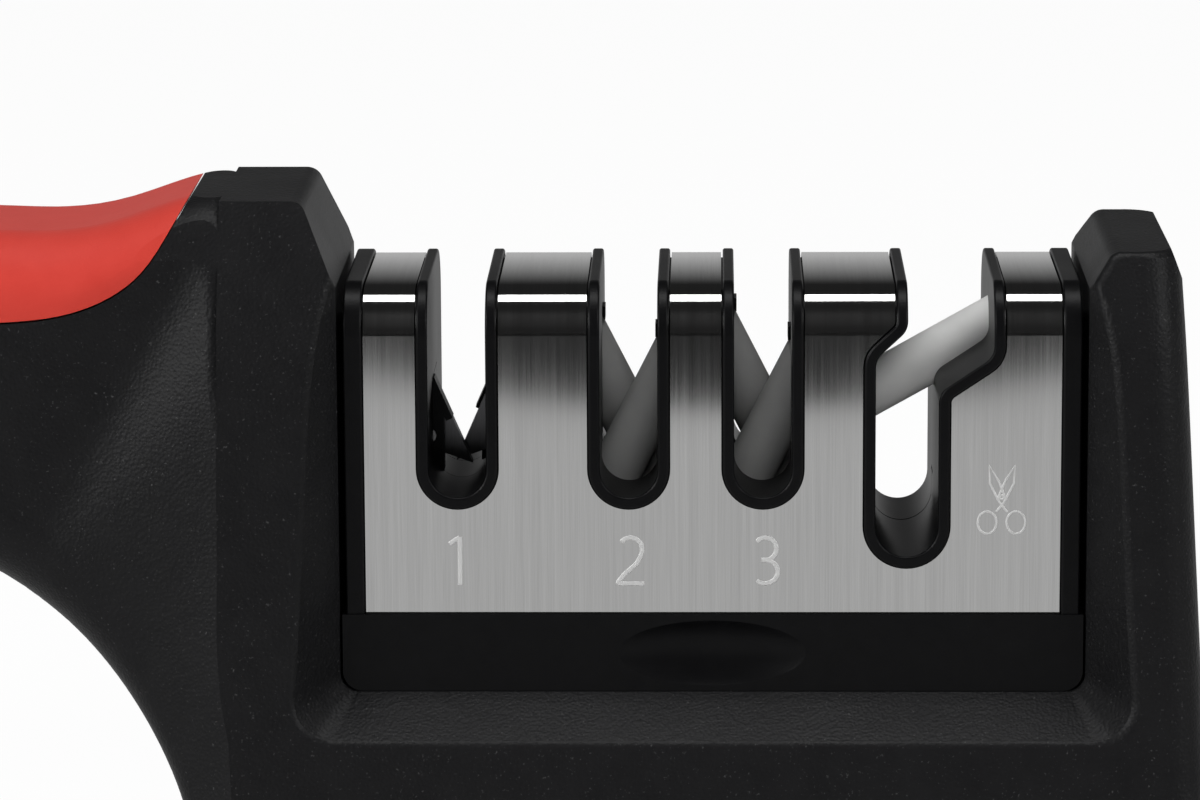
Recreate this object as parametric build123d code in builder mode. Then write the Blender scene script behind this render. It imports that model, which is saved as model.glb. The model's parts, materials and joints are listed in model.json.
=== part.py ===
from build123d import *
from math import cos, radians, sin
import os

os.makedirs("parts", exist_ok=True)

# All sizes are in millimetres. X runs along the sharpener with the handle on the negative side,
# Y runs from front to back and Z runs up. The origin lies on the standing surface, under the
# middle of the cartridge.

# Head of the body: two pillars with the cradle between them
head_height = 72.8
right_pillar_drop = 4.9
foot_depth = 50.0
left_pillar_width = 11.75
right_pillar_width = 9.55
right_foot_width = 12.85
left_slope_run = 3.55
right_slope_run = 2.35
right_shoulder_run = 1.3
pillar_slope_drop = 8.3
pillar_corner_radius = 1.6
right_edge_radius = 4.0
body_wall = 2.5
left_face_shares = ((0.0, 0.957), (0.176, 0.976), (0.453, 0.994), (0.728, 1.0), (1.0, 1.0))
side_profile_shares = (
    (0.0, 1.0),
    (0.18, 0.885),
    (0.41, 0.8),
    (0.69, 0.74),
    (0.85, 0.66),
    (0.935, 0.555),
    (1.0, 0.46),
)
right_shoulder_share = 0.41
right_slope_share = 0.43
upright_edge_share = 0.7

# Cradle that the cartridge stands in
cradle_floor = 23.1
cradle_clearance = 0.25
cradle_land_margin = 0.4
bevel_front_share = 0.896
bevel_side_growth = 5.9
bevel_floor_drop = 4.6
bevel_outer_radius = 5.0
bevel_edge_radius = 1.0
bevel_pick_share = 0.75
guide_rib_width = 3.0
guide_rib_depth = 1.5
guide_rib_height = 36.0
guide_rib_clearance = 0.25

# Handle, as sections that fan round the arch under it and then step along to the tail
handle_length = 113.6
handle_drop = 3.6
handle_half_width = 14.6
handle_corner_radius = 7.0
root_tuck = 3.0
root_proud = 0.15
arch_radius_share = 0.594
arch_gap = 1.8
arch_centre_height = -1.9
# Each root section has its angle from level, its inner half width and both corner radii
root_section_shares = (
    (0.0, 1.6, 0.17, 0.2),
    (15.0, 1.34, 0.31, 0.2),
    (30.0, 1.164, 0.57, 0.25),
    (42.0, 1.082, 0.79, 0.35),
    (51.0, 1.048, 0.93, 0.45),
    (55.5, 1.035, 0.93, 0.7),
)
# Each neck section has its angle, top height, inner and outer half width and both corner radii
neck_section_shares = (
    (59.5, 1.045, 1.027, 0.98, 0.93, 0.95),
    (66.0, 1.016, 1.021, 1.03, 1.0, 1.1),
    (75.0, 1.002, 1.007, 1.01, 1.0, 1.05),
    (90.0, 1.0, 1.0, 1.0, 1.0, 1.0),
)
# Each tail section has its place along the tail, top and under height, half width and radius
tail_section_shares = (
    (0.25, 0.997, 0.558, 1.02, 1.04),
    (0.505, 0.974, 0.532, 1.04, 1.1),
    (0.717, 0.925, 0.512, 1.0, 1.14),
    (0.859, 0.861, 0.523, 0.877, 1.14),
    (0.943, 0.795, 0.562, 0.685, 0.88),
    (0.986, 0.74, 0.607, 0.425, 0.51),
    (1.0, 0.7, 0.65, 0.164, 0.17),
)
# Sections at the tip of the tail that the hollow of the handle stops short of
solid_tail_sections = 3
# Seam under the red inlay, as shares of the handle's length and of its top height
seam_shares = (
    (0.0255, 1.058),
    (0.0423, 1.0116),
    (0.0713, 0.945),
    (0.1144, 0.9017),
    (0.1919, 0.88),
    (0.375, 0.877),
    (0.692, 0.8555),
    (0.886, 0.7775),
    (1.018, 0.686),
)
inlay_gap = 0.2

# Closing plate, rubber pad and their screws under the head
pad_proud = 0.8
pad_thickness = 1.6
pad_margin = 2.5
pad_island_wall = 0.7
pad_groove_width = 1.2
pad_groove_depth = 0.5
pad_groove_count = 8
plate_under_thickness = 2.0
plate_under_gap = 0.15
plate_margin = 3.0
foot_screw_outset = 0.35
foot_screw_inset = 13.0
foot_screw_radius = 1.5
foot_screw_length = 11.0
foot_screw_head_radius = 2.7
foot_screw_head_height = 1.2
foot_boss_radius = 4.0

# Cartridge: steel cover, core, rims and base block
plate_length = 70.0
plate_depth = 28.0
plate_thickness = 0.5
plate_bend_radius = 4.5
plate_height = 33.0
plate_fit = 0.05
rim_width = 1.12
rim_proud = 0.4
rim_gap = 0.17
rim_edge_radius = 0.25
rim_pick_share = 0.75
rail_gap = 0.15
core_overhang = 2.0
core_wall = 2.0
core_end_wall = 3.6
base_overhang = 0.4
base_ledge = 0.6
base_block_height = 7.9
base_corner_radius = 2.0
base_wall = 2.6
thumb_length = 18.9
thumb_height = 6.7
thumb_depth = 1.2

# Slots for knives
slot_width = 5.8
slot_depth = 21.0
stage_one_share = -0.3664
stage_two_share = -0.12
stage_three_share = 0.0729
rod_chamber_drop = 3.0
rod_chamber_depth = 11.2

# Slot for scissors: narrow well below, wide mouth above
well_share = 0.2793
well_width = 6.3
well_depth = 27.1
mouth_shift = 3.2
mouth_width = 8.6
left_bend_low = 6.9
left_bend_high = 3.9
right_bend_low = 10.3
right_bend_high = 6.6
scissor_bend_radius = 2.0
lip_reach = 3.2
lip_gap = 0.35
lip_height = 5.5

# Sharpening rods
rod_diameter = 5.3
rod_length = 22.0
rod_lean = 27.0
rod_side_gap = 0.15
rod_fit = 0.06
rod_end_chamfer = 0.4
stage_two_meeting_shift = 0.2
stage_two_meeting_drop = 11.5
stage_three_meeting_shift = 0.5
stage_three_meeting_drop = 11.2
rod_slide_down = 1.7
scissor_rod_rise = 29.4
scissor_rod_shift = 2.85
scissor_rod_drop = 9.2
scissor_rod_length = 20.0
rod_stop_width = 0.3
rod_stop_height = 1.4

# Crossed blades, their holder and pins
blade_thickness = 1.6
blade_gap = 0.05
blade_width = 4.6
blade_edge_length = 9.6
blade_lean = 23.7
blade_tip_slope = 20.0
blade_meeting_shift = 0.15
blade_meeting_drop = 18.0
blade_below_meeting = 2.2
holder_length = 15.0
holder_height = 15.0
holder_depth = 8.0
holder_top_drop = 10.6
holder_fit = 0.1
guard_cover = 1.1
guard_lip = 0.3
guard_lip_cover = 0.45
guard_lip_start = 3.3
guard_lip_length = 4.6
blade_pin_radius = 0.75
blade_pin_inset = 2.7

# Screws inside the cartridge
core_screw_radius = 1.0
core_screw_length = 13.0
core_screw_head_radius = 1.9
core_screw_head_height = 1.3
core_screw_sink = 5.5
core_screw_height = 4.9
core_screw_places_share = (-0.88, -0.26, 0.28, 0.87)
core_boss_wall = 1.7
base_screw_radius = 1.1
base_screw_length = 11.0
base_screw_sink = 1.0
base_screw_head_radius = 2.1
base_screw_head_height = 1.3
base_screw_spacing_x = 48.0
base_screw_spacing_y = 13.0
base_post_wall = 1.4
screw_fit = 0.05
recess_width_share = 0.3
recess_length_share = 1.2
recess_depth_share = 0.5

# Room that cuts run past the faces they open
overrun = 3.0

# Sizes that follow from the plate and the head: core, base, cradle, pillars and handle
core_length = plate_length + 2 * core_overhang
base_block_length = core_length + 2 * base_overhang
base_block_depth = plate_depth + 2 * base_ledge
recess_half_length = base_block_length / 2 + cradle_clearance
cradle_corner_radius = base_corner_radius - cradle_clearance
cradle_land_depth = plate_depth + 2 * cradle_land_margin
bevel_depth = foot_depth / 2 * bevel_front_share - cradle_land_depth / 2
head_left = recess_half_length + left_pillar_width
head_right = recess_half_length + right_foot_width
right_pillar_reach = recess_half_length + right_pillar_width
left_pillar_top_inner = recess_half_length + left_slope_run
right_pillar_top_inner = recess_half_length + right_slope_run
right_pillar_top_outer = right_pillar_reach - right_shoulder_run
right_pillar_height = head_height - right_pillar_drop
handle_top = head_height - handle_drop
arch_radius = handle_top * arch_radius_share
arch_reach = arch_radius + arch_gap
body_reach = head_left + handle_length + overrun
foot_screw_x = recess_half_length + foot_screw_outset
foot_screw_y = foot_depth / 2 - foot_screw_inset

# Places along the plate
stage_one_centre = plate_length * stage_one_share
stage_two_centre = plate_length * stage_two_share
stage_three_centre = plate_length * stage_three_share
well_mid = plate_length * well_share
well_left = well_mid - well_width / 2
well_right = well_mid + well_width / 2
mouth_left = well_left + mouth_shift
mouth_right = mouth_left + mouth_width
stage_two_meeting_x = stage_two_centre + stage_two_meeting_shift
stage_three_meeting_x = stage_three_centre + stage_three_meeting_shift
scissor_rod_x = well_mid + scissor_rod_shift
blade_meeting_x = stage_one_centre + blade_meeting_shift

# Heights and half sizes that follow from the sizes above
cartridge_base_top = cradle_floor + base_block_height
plate_top = cartridge_base_top + plate_height
rim_top = plate_top + rim_proud
slot_bottom = plate_top - slot_depth
slot_open_top = rim_top + overrun
half_plate_depth = plate_depth / 2
half_rim_depth = half_plate_depth + rim_proud
core_half_depth = half_plate_depth - plate_thickness - plate_fit
core_top = plate_top - plate_thickness - plate_fit
core_bend_radius = plate_bend_radius - plate_thickness - plate_fit
rim_bend_radius = plate_bend_radius + rim_proud
core_reach = core_length / 2
well_radius = well_width / 2
well_centre_height = plate_top - well_depth + well_radius
rod_radius = rod_diameter / 2
rod_offset = rod_radius + rod_side_gap
body_under = pad_proud
holder_top = plate_top - holder_top_drop
holder_bottom = holder_top - holder_height
stage_centres = (stage_one_centre, stage_two_centre, stage_three_centre)
rod_chamber_centres = (stage_two_centre, stage_three_centre)
FRONT = -1
BACK = 1


def follow(table_shares, share):
    """Value of a table of shares at a place between its rows."""
    for (low, low_value), (high, high_value) in zip(table_shares, table_shares[1:]):
        if share <= high:
            return low_value + (high_value - low_value) * (share - low) / (high - low)
    return table_shares[-1][1]


def half_depth_at(height):
    return foot_depth / 2 * follow(side_profile_shares, height / head_height)


def left_face_at(height):
    return -head_left * follow(left_face_shares, height / head_height)


def export_piece(piece, name):
    piece.label = name
    export_step(piece, f"parts/{name}.step")


def is_upright(edge):
    """True for the edges that run up the head from its foot to its top."""
    return edge.length > head_height * upright_edge_share


# Everything above the tops of the pillars and inside the cradle, seen from the front
with BuildPart() as head_clearance:
    with BuildSketch(Plane.XZ) as clearance_outline:
        shoulder_height = right_pillar_height - pillar_slope_drop * right_shoulder_share
        right_slope_foot = right_pillar_height - pillar_slope_drop * right_slope_share
        sky = head_height + overrun
        with BuildLine():
            Polyline(
                (-head_left - overrun, head_height),
                (-left_pillar_top_inner, head_height),
                (-recess_half_length, head_height - pillar_slope_drop),
                (-recess_half_length, cradle_floor),
                (recess_half_length, cradle_floor),
                (recess_half_length, right_slope_foot),
                (right_pillar_top_inner, right_pillar_height),
                (right_pillar_top_outer, right_pillar_height),
                (right_pillar_reach, shoulder_height),
                (head_right + overrun, shoulder_height - overrun),
                (head_right + overrun, sky),
                (-head_left - overrun, sky),
                close=True,
            )
        make_face()
        fillet(clearance_outline.vertices().group_by(Axis.Y)[0], cradle_corner_radius)
        tops = clearance_outline.vertices().filter_by_position(Axis.Y, right_pillar_height, head_height)
        pillar_tops = tops.filter_by_position(Axis.X, -head_left, right_pillar_top_outer)
        fillet(pillar_tops, pillar_corner_radius)
    extrude(amount=foot_depth, both=True)


def section_sketch(plane, low, high, low_half, high_half, low_radius, high_radius):
    """Rounded section of the handle, from its inner end at low to its outer end at high."""
    with BuildSketch(plane) as section:
        with BuildLine():
            Polyline(
                (-low_half, low),
                (low_half, low),
                (high_half, high),
                (-high_half, high),
                close=True,
            )
        make_face()
        fillet(section.vertices().group_by(Axis.Y)[0], low_radius)
        fillet(section.vertices().group_by(Axis.Y)[-1], high_radius)
    return section.sketch


def handle_sections(inset):
    """Sections of the handle from the head round the arch and along to the tail."""
    arch_x = -head_left - arch_reach
    arch_centre = (arch_x, 0, arch_centre_height)
    tail_reach = handle_length - arch_reach
    low = arch_radius + inset
    whole = inset == 0
    root_rows = root_section_shares if whole else ()
    neck_rows = neck_section_shares if whole else neck_section_shares[1:]
    tail_rows = tail_section_shares if whole else tail_section_shares[:-solid_tail_sections]
    sections = []
    for angle, low_share, low_radius_share, high_radius_share in root_rows:
        turn = radians(angle)
        plane = Plane(arch_centre, x_dir=(0, 1, 0), z_dir=(sin(turn), 0, -cos(turn)))
        reach = left_face_at(head_height / 2) - arch_x
        meets_at = arch_centre_height + reach * sin(turn) / cos(turn)
        face = (left_face_at(meets_at) - arch_x) / cos(turn)
        low_half = handle_half_width * low_share
        flare = (half_depth_at(meets_at) - low_half) / (face - low)
        high = face + root_tuck
        high_half = half_depth_at(meets_at) + root_proud + flare * root_tuck
        low_corner = handle_corner_radius * low_radius_share
        high_corner = handle_corner_radius * high_radius_share
        sections.append(section_sketch(plane, low, high, low_half, high_half, low_corner, high_corner))
    for angle, top_share, low_share, high_share, low_radius_share, high_radius_share in neck_rows:
        turn = radians(angle)
        plane = Plane(arch_centre, x_dir=(0, 1, 0), z_dir=(sin(turn), 0, -cos(turn)))
        high = (handle_top * top_share - arch_centre_height) / sin(turn) - inset
        low_half = handle_half_width * low_share - inset
        high_half = handle_half_width * high_share - inset
        low_corner = handle_corner_radius * low_radius_share - inset
        high_corner = handle_corner_radius * high_radius_share - inset
        sections.append(section_sketch(plane, low, high, low_half, high_half, low_corner, high_corner))
    for along, top_share, under_share, half_share, radius_share in tail_rows:
        plane = Plane((arch_x - tail_reach * along, 0, 0), x_dir=(0, 1, 0), z_dir=(1, 0, 0))
        low = handle_top * under_share + inset
        high = handle_top * top_share - inset
        half = handle_half_width * half_share - inset
        corner = handle_corner_radius * radius_share - inset
        sections.append(section_sketch(plane, low, high, half, half, corner, corner))
    return sections


def side_prism(reach):
    """Space between the front and the back of the head, drawn out along X."""
    with BuildPart() as prism:
        with BuildSketch(Plane.YZ):
            with BuildLine():
                half_foot = foot_depth / 2
                back_points = [(half_foot * across, head_height * up) for up, across in side_profile_shares]
                front_points = [(-y, z) for y, z in back_points]
                Spline(*back_points)
                Line(back_points[-1], front_points[-1])
                Spline(*front_points)
                Line(front_points[0], back_points[0])
            make_face()
        extrude(amount=reach, both=True)
    return prism.part


# The root of the handle flares past the sides of the head, and both are trimmed to one profile
with BuildPart() as handle_outer:
    loft(handle_sections(0))

with BuildPart() as handle_inner:
    loft(handle_sections(body_wall))

with BuildPart() as body_block:
    with BuildSketch(Plane.XZ):
        with BuildLine():
            left_points = [(-head_left * across, head_height * up) for up, across in left_face_shares]
            left_line = Spline(*left_points)
            block_top = Line(left_line @ 1, (right_pillar_reach - pillar_corner_radius / 3, head_height))
            right_side = Line(block_top @ 1, (head_right, 0))
            Line(right_side @ 1, left_line @ 0)
        make_face()
    extrude(amount=foot_depth, both=True)
    add(handle_outer.part)
    add(side_prism(body_reach), mode=Mode.INTERSECT)
    fillet(body_block.edges().filter_by(is_upright).group_by(Axis.X)[-1], right_edge_radius)


def above_seam(lift):
    """Everything above the seam of the red inlay, raised by a lift."""
    with BuildPart() as region:
        with BuildSketch(Plane.XZ):
            with BuildLine():
                points = []
                for along, up in seam_shares:
                    points.append((-head_left - handle_length * along, handle_top * up + lift))
                seam = Spline(*points)
                sky = head_height + overrun
                Polyline(seam @ 1, (points[-1][0], sky), (points[0][0], sky), seam @ 0)
            make_face()
        extrude(amount=foot_depth, both=True)
    return region.part


# Bevel that opens the cradle outwards from its middle land, at the front and at the back
bevels = []
for side in (FRONT, BACK):
    bevel_rings = []
    for outward, growth, drop, radius in (
        (0, 0, 0, cradle_corner_radius),
        (bevel_depth, bevel_side_growth, bevel_floor_drop, bevel_outer_radius),
    ):
        plane = Plane((0, side * (cradle_land_depth / 2 + outward), 0), x_dir=(1, 0, 0), z_dir=(0, -1, 0))
        with BuildSketch(plane) as ring:
            half = recess_half_length + growth
            low = cradle_floor - drop
            with Locations((0, low)):
                Rectangle(2 * half, head_height + overrun - low, align=(Align.CENTER, Align.MIN))
            fillet(ring.vertices().group_by(Axis.Y)[0], radius)
        bevel_rings.append(ring.sketch)
    with BuildPart() as bevel:
        loft(bevel_rings, ruled=True)
    bevels.append(bevel.part)

def on_bevel_rim(edge):
    """True for the edges where the bevels meet the front and back faces of the head."""
    middle = edge.position_at(0.5)
    outside_land = abs(middle.Y) > cradle_land_depth / 2 + bevel_edge_radius / 4
    below_tops = middle.Z < right_pillar_height - bevel_edge_radius / 2
    within = abs(middle.X) < recess_half_length + bevel_side_growth * bevel_pick_share
    above_floor = middle.Z > cradle_floor - bevel_floor_drop
    across = abs(edge.tangent_at(0.5).Y) < bevel_pick_share
    return outside_land and below_tops and within and above_floor and across


# Hollow of the head, open below, with hollow pillars beside the cradle
with BuildPart() as hollow:
    with BuildSketch(Plane.XZ):
        hollow_left = -head_left * left_face_shares[0][1] + 2 * body_wall
        hollow_right = head_right - 2 * body_wall
        under_floor = cradle_floor - bevel_floor_drop - body_wall
        pillar_inner = recess_half_length + bevel_side_growth / 2
        with BuildLine():
            Polyline(
                (hollow_left, -overrun),
                (hollow_right, -overrun),
                (hollow_right, under_floor),
                (right_pillar_reach - body_wall, right_pillar_height - 2 * body_wall),
                (pillar_inner, right_pillar_height - 2 * body_wall),
                (pillar_inner, under_floor),
                (-pillar_inner, under_floor),
                (-pillar_inner, head_height - 2 * body_wall),
                (-head_left + body_wall, head_height - 2 * body_wall),
                (-head_left + body_wall, under_floor),
                (hollow_left, under_floor),
                close=True,
            )
        make_face()
    extrude(amount=foot_depth, both=True)
    with BuildSketch(Plane.YZ):
        with BuildLine():
            hollow_shares = [(up, across) for up, across in side_profile_shares if up < 1]
            back_points = [(foot_depth / 2 - 2 * body_wall, -overrun)]
            for up, across in hollow_shares:
                back_points.append((foot_depth / 2 * across - 2 * body_wall, head_height * up))
            back_points.append((back_points[-1][0], head_height))
            Polyline(*back_points, *[(-y, z) for y, z in reversed(back_points)], close=True)
        make_face()
    extrude(amount=head_left + head_right, both=True, mode=Mode.INTERSECT)

# Opening that the closing plate is let into
under_left = plate_margin - head_left * left_face_shares[0][1]
under_right = head_right - plate_margin
under_half_depth = foot_depth / 2 - plate_margin
foot_screw_places = [(x * foot_screw_x, y * foot_screw_y) for x in (-1, 1) for y in (-1, 1)]
plate_under_top = body_under + plate_under_thickness

with BuildPart() as head:
    add(body_block.part)
    add(head_clearance.part, mode=Mode.SUBTRACT)
    for bevel_part in bevels:
        add(bevel_part, mode=Mode.SUBTRACT)
    fillet(head.edges().filter_by(on_bevel_rim), bevel_edge_radius)

with BuildPart() as main_body:
    add(head.part)
    split(bisect_by=Plane.XY.offset(body_under), keep=Keep.TOP)
    add(above_seam(0), mode=Mode.SUBTRACT)
    with BuildSketch(Plane.XY.offset(body_under - overrun)):
        with Locations(((under_left + under_right) / 2, 0)):
            rebate_length = under_right - under_left + 2 * plate_under_gap
            rebate_depth = 2 * (under_half_depth + plate_under_gap)
            RectangleRounded(rebate_length, rebate_depth, base_corner_radius + plate_under_gap)
    extrude(amount=overrun + plate_under_thickness, mode=Mode.SUBTRACT)
    add(hollow.part, mode=Mode.SUBTRACT)
    add(handle_inner.part, mode=Mode.SUBTRACT)
    # Bosses for the foot screws, and the ribs that guide the cartridge
    with BuildSketch(Plane.XY.offset(plate_under_top)):
        with Locations(*foot_screw_places):
            Circle(foot_boss_radius)
    extrude(amount=cradle_floor - bevel_floor_drop - body_wall - plate_under_top + screw_fit)
    with BuildSketch(Plane.XY.offset(cradle_floor)):
        for side in (-1, 1):
            with Locations((side * (recess_half_length - guide_rib_depth / 2), 0)):
                Rectangle(guide_rib_depth, guide_rib_width)
    extrude(amount=guide_rib_height)
    with BuildSketch(Plane.XY.offset(plate_under_top)):
        with Locations(*foot_screw_places):
            Circle(foot_screw_radius + screw_fit)
    extrude(amount=foot_screw_length - plate_under_thickness + overrun, mode=Mode.SUBTRACT)
export_piece(main_body.part, "main_body")

with BuildPart() as grip_inlay:
    add(handle_outer.part)
    add(side_prism(body_reach), mode=Mode.INTERSECT)
    add(above_seam(inlay_gap), mode=Mode.INTERSECT)
    add(handle_inner.part, mode=Mode.SUBTRACT)
export_piece(grip_inlay.part, "grip_inlay")


# Plane behind the whole object, from which front outlines are extruded through it
behind = Plane.XZ.offset(-foot_depth)
towards_front = (0, -1, 0)


def saddle(half_depth, bottom, top, radius, reach):
    """Bar along X with straight sides and a top that has two rounded shoulders."""
    with BuildPart() as bar:
        with BuildSketch(Plane.YZ) as face:
            with Locations((0, bottom)):
                Rectangle(2 * half_depth, top - bottom, align=(Align.CENTER, Align.MIN))
            fillet(face.vertices().group_by(Axis.Y)[-1], radius)
        extrude(amount=reach, both=True)
    return bar.part


def knife_slot(centre, bottom, grow):
    """Upright slot with a round bottom, open at the top, as a sketch seen from the front."""
    radius = slot_width / 2
    with BuildSketch(behind) as shape:
        with Locations((centre, bottom + radius)):
            Circle(radius + grow)
            height = slot_open_top - bottom - radius
            Rectangle(slot_width + 2 * grow, height, align=(Align.CENTER, Align.MIN))
    return shape.sketch


def scissor_slot(grow):
    """Stepped slot with a narrow well below and a wide mouth above, as a sketch."""
    with BuildSketch(behind) as shape:
        with BuildLine():
            Polyline(
                (mouth_left, slot_open_top),
                (mouth_left, plate_top - left_bend_high),
                (well_left, plate_top - left_bend_low),
                (well_left, well_centre_height),
                (well_right, well_centre_height),
                (well_right, plate_top - right_bend_low),
                (mouth_right, plate_top - right_bend_high),
                (mouth_right, slot_open_top),
                close=True,
            )
        make_face()
        lowest_bend = plate_top - right_bend_low - rim_gap
        highest_bend = plate_top - left_bend_high + rim_gap
        fillet(shape.vertices().filter_by_position(Axis.Y, lowest_bend, highest_bend), scissor_bend_radius)
        with Locations((well_mid, well_centre_height)):
            Circle(well_radius)
        if grow > 0:
            offset(amount=grow, kind=Kind.ARC)
    return shape.sketch


def all_slots(grow):
    """The four slots together, cut right through from front to back."""
    with BuildPart() as cut:
        for centre in stage_centres:
            extrude(knife_slot(centre, slot_bottom, grow), amount=2 * foot_depth, dir=towards_front)
        extrude(scissor_slot(grow), amount=2 * foot_depth, dir=towards_front)
    return cut.part


def rod_lean_vector(side):
    """Way up along a rod: the front rod leans right and the back rod leans left."""
    turn = radians(rod_lean)
    return Vector(-side * sin(turn), 0, cos(turn))


def rod_middle(meeting_x, meeting_drop, side):
    """Middle of a rod whose inner edge passes through the point where the pair meet."""
    turn = radians(rod_lean)
    across = Vector(-side * cos(turn), 0, -sin(turn)) * rod_radius
    meeting = Vector(meeting_x, side * rod_offset, plate_top - meeting_drop)
    return meeting + across - rod_lean_vector(side) * rod_slide_down


def rod_plane(meeting_x, meeting_drop, side):
    middle = rod_middle(meeting_x, meeting_drop, side)
    return Plane(middle, x_dir=(0, 1, 0), z_dir=rod_lean_vector(side))


scissor_turn = radians(scissor_rod_rise)
scissor_middle = Vector(scissor_rod_x, 0, plate_top - scissor_rod_drop)
scissor_plane = Plane(scissor_middle, x_dir=(0, 1, 0), z_dir=(cos(scissor_turn), 0, sin(scissor_turn)))
rod_pairs = {
    "stage_two": (stage_two_meeting_x, stage_two_meeting_drop),
    "stage_three": (stage_three_meeting_x, stage_three_meeting_drop),
}
side_names = {FRONT: "front", BACK: "rear"}


def make_rod(plane, length):
    with BuildPart() as rod:
        with BuildSketch(plane):
            Circle(rod_radius)
        extrude(amount=length / 2, both=True)
        chamfer(rod.edges().filter_by(GeomType.CIRCLE), rod_end_chamfer)
    return rod.part


for pair, (meeting_x, meeting_drop) in rod_pairs.items():
    for side, side_name in side_names.items():
        rod_part = make_rod(rod_plane(meeting_x, meeting_drop, side), rod_length)
        export_piece(rod_part, f"{pair}_rod_{side_name}")
export_piece(make_rod(scissor_plane, scissor_rod_length), "scissor_rod")

# Steel cover, bent over the core, with room for the rims in its cut-outs
with BuildPart() as cover_plate:
    add(saddle(half_plate_depth, cartridge_base_top, plate_top, plate_bend_radius, plate_length / 2))
    inner_half = half_plate_depth - plate_thickness
    inner_radius = plate_bend_radius - plate_thickness
    inner_low = cartridge_base_top - overrun
    add(
        saddle(inner_half, inner_low, plate_top - plate_thickness, inner_radius, core_reach),
        mode=Mode.SUBTRACT,
    )
    add(all_slots(rim_width + rim_gap), mode=Mode.SUBTRACT)
export_piece(cover_plate.part, "cover_plate")

# Rims that stand proud round the slots, and the rails beyond the ends of the plate
with BuildPart() as rim_reach:
    add(all_slots(rim_width))
    rail_inner = plate_length / 2 + rail_gap
    rail_width = core_reach - rail_inner
    with BuildSketch(behind):
        for side in (-1, 1):
            with Locations((side * (rail_inner + rail_width / 2), cartridge_base_top)):
                Rectangle(rail_width, plate_height + overrun, align=(Align.CENTER, Align.MIN))
    extrude(amount=2 * foot_depth)

with BuildPart() as rims:
    add(saddle(half_rim_depth, cartridge_base_top, rim_top, rim_bend_radius, core_reach))
    add(rim_reach.part, mode=Mode.INTERSECT)
    add(all_slots(0), mode=Mode.SUBTRACT)


def on_rim_face(edge):
    """True for the edges that run round the outer face of the rims."""
    middle = edge.position_at(0.5)
    tangent = edge.tangent_at(0.5)
    at_side = abs(middle.Y) > half_rim_depth - rim_edge_radius / 2
    at_top = middle.Z > rim_top - rim_edge_radius / 2
    out = abs(middle.Y) - half_rim_depth + rim_bend_radius
    up = middle.Z - rim_top + rim_bend_radius
    off_bend = abs(Vector(0, out, up).length - rim_bend_radius)
    on_bend = out > 0 and up > 0 and off_bend < rim_edge_radius / 2
    return (at_side or at_top or on_bend) and abs(tangent.X) < rim_pick_share


with BuildPart() as soft_rims:
    add(rims.part)
    fillet(soft_rims.edges().filter_by(on_rim_face), rim_edge_radius)

with BuildPart() as core_blank:
    add(saddle(core_half_depth, cartridge_base_top, core_top, core_bend_radius, core_reach))
    add(all_slots(0), mode=Mode.SUBTRACT)
    add(soft_rims.part)
    # Deeper chambers in the middle of the rod slots, for the lower ends of the rods
    for centre in rod_chamber_centres:
        chamber = knife_slot(centre, slot_bottom - rod_chamber_drop, 0)
        chamber_back = chamber.moved(Location((0, rod_chamber_depth / 2 - foot_depth, 0)))
        extrude(chamber_back, amount=rod_chamber_depth, dir=towards_front, mode=Mode.SUBTRACT)


def blade_point(side, along, across):
    """Point in the front view, measured up the blade's edge from the meeting point and across it."""
    turn = radians(blade_lean)
    x = blade_meeting_x + side * (sin(turn) * along - cos(turn) * across)
    return (x, plate_top - blade_meeting_drop + cos(turn) * along + sin(turn) * across)


def layer(side, near, far):
    """Plane for an outline that is extruded on one side of the seam, and the amount to extrude."""
    return Plane((0, side * near, 0), x_dir=(1, 0, 0), z_dir=(0, -1, 0)), -side * (far - near)


blade_far = blade_gap + blade_thickness
tip_turn = radians(blade_tip_slope + blade_lean)


def blade_block(side, play):
    """Blade with its edge towards the slot and its lower end cut on a slope."""
    plane, amount = layer(side, blade_gap - play, blade_far + play)
    root = -blade_width - play
    tip = -blade_below_meeting - play
    tip_at_root = tip - root * sin(tip_turn) / cos(tip_turn)
    upper_end = blade_edge_length - blade_below_meeting + play
    with BuildPart() as block:
        with BuildSketch(plane):
            with BuildLine():
                Polyline(
                    blade_point(side, tip, 0),
                    blade_point(side, upper_end, 0),
                    blade_point(side, upper_end, root),
                    blade_point(side, tip_at_root, root),
                    close=True,
                )
            make_face()
        extrude(amount=amount)
    return block.part


def blade_guard(side):
    """Cover on the outer side of a blade, with a lip along the upper part of its edge."""
    plane, amount = layer(side, blade_far + blade_gap, holder_depth / 2)
    wall = stage_one_centre + side * slot_width / 2
    cover_edge = wall - side * guard_cover
    buried = wall + side * guard_cover / 2
    step = guard_lip_start
    under = -guard_lip_cover
    turn = radians(blade_lean)
    corner_along = ((cover_edge - blade_meeting_x) * side + cos(turn) * under) / sin(turn)
    with BuildPart() as block:
        with BuildSketch(plane):
            with BuildLine():
                Polyline(
                    blade_point(side, step + guard_lip_length, guard_lip),
                    blade_point(side, step, guard_lip),
                    blade_point(side, step, under),
                    blade_point(side, corner_along, under),
                    (cover_edge, slot_bottom),
                    (buried, slot_bottom),
                    (buried, blade_point(side, step + guard_lip_length, guard_lip)[1]),
                    close=True,
                )
            make_face()
        extrude(amount=amount)
    return block.part


def holder_block(grow):
    with BuildPart() as block:
        with Locations((stage_one_centre, 0, (holder_top + holder_bottom) / 2)):
            Box(holder_length + 2 * grow, holder_depth + 2 * grow, holder_height + 2 * grow)
    return block.part


pin_along = (blade_edge_length - 2 * blade_below_meeting) / 2
pin_places = [blade_point(side, pin_along, -blade_pin_inset) for side in (FRONT, BACK)]

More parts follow.
